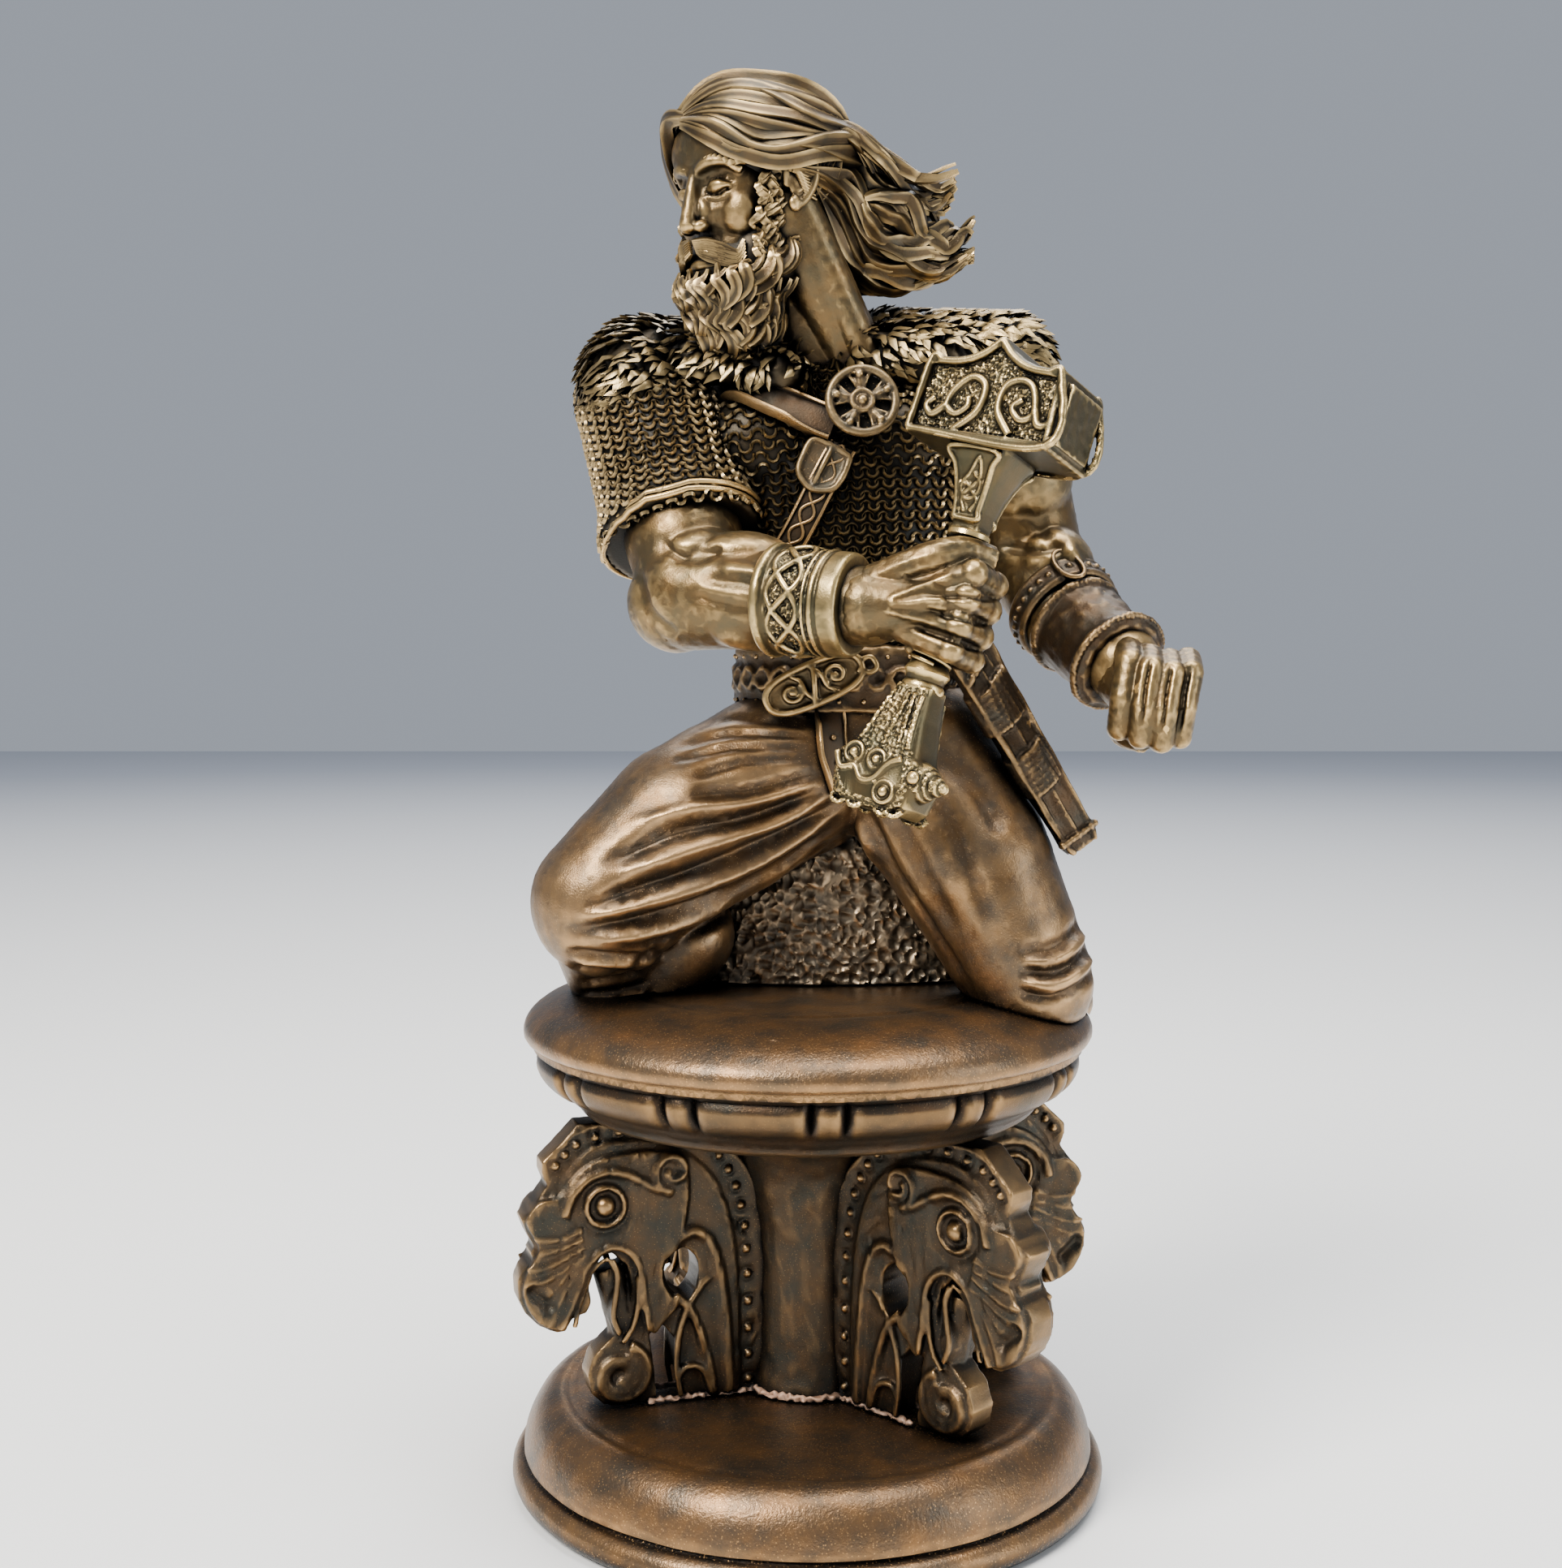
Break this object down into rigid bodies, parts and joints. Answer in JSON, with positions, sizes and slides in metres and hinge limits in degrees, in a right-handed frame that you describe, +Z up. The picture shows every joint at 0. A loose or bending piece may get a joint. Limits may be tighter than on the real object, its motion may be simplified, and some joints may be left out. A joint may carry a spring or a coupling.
{
  "type": "warrior statuette",
  "caption": "Cold-cast bronze statuette of a bearded warrior with a hammer on a beaded dais over carved dragons.",
  "frame": {"origin": "middle of the foot plate's underside", "axes": "+Z up through the column, -Y out of the statuette's front, +X to a viewer's right"},
  "size_m": [0.1571, 0.142, 0.3283],
  "materials": {
    "old_bronze": "satin antiqued bronze, dark in the hollows",
    "bright_bronze": "satin bright bronze, dark in the hollows"
  },
  "bodies": {
    "root": {"foot_plate": "old_bronze", "dragon_column": "old_bronze", "top_plate": "old_bronze", "figure": "old_bronze", "hammer": "bright_bronze"}
  },
  "joints": []
}
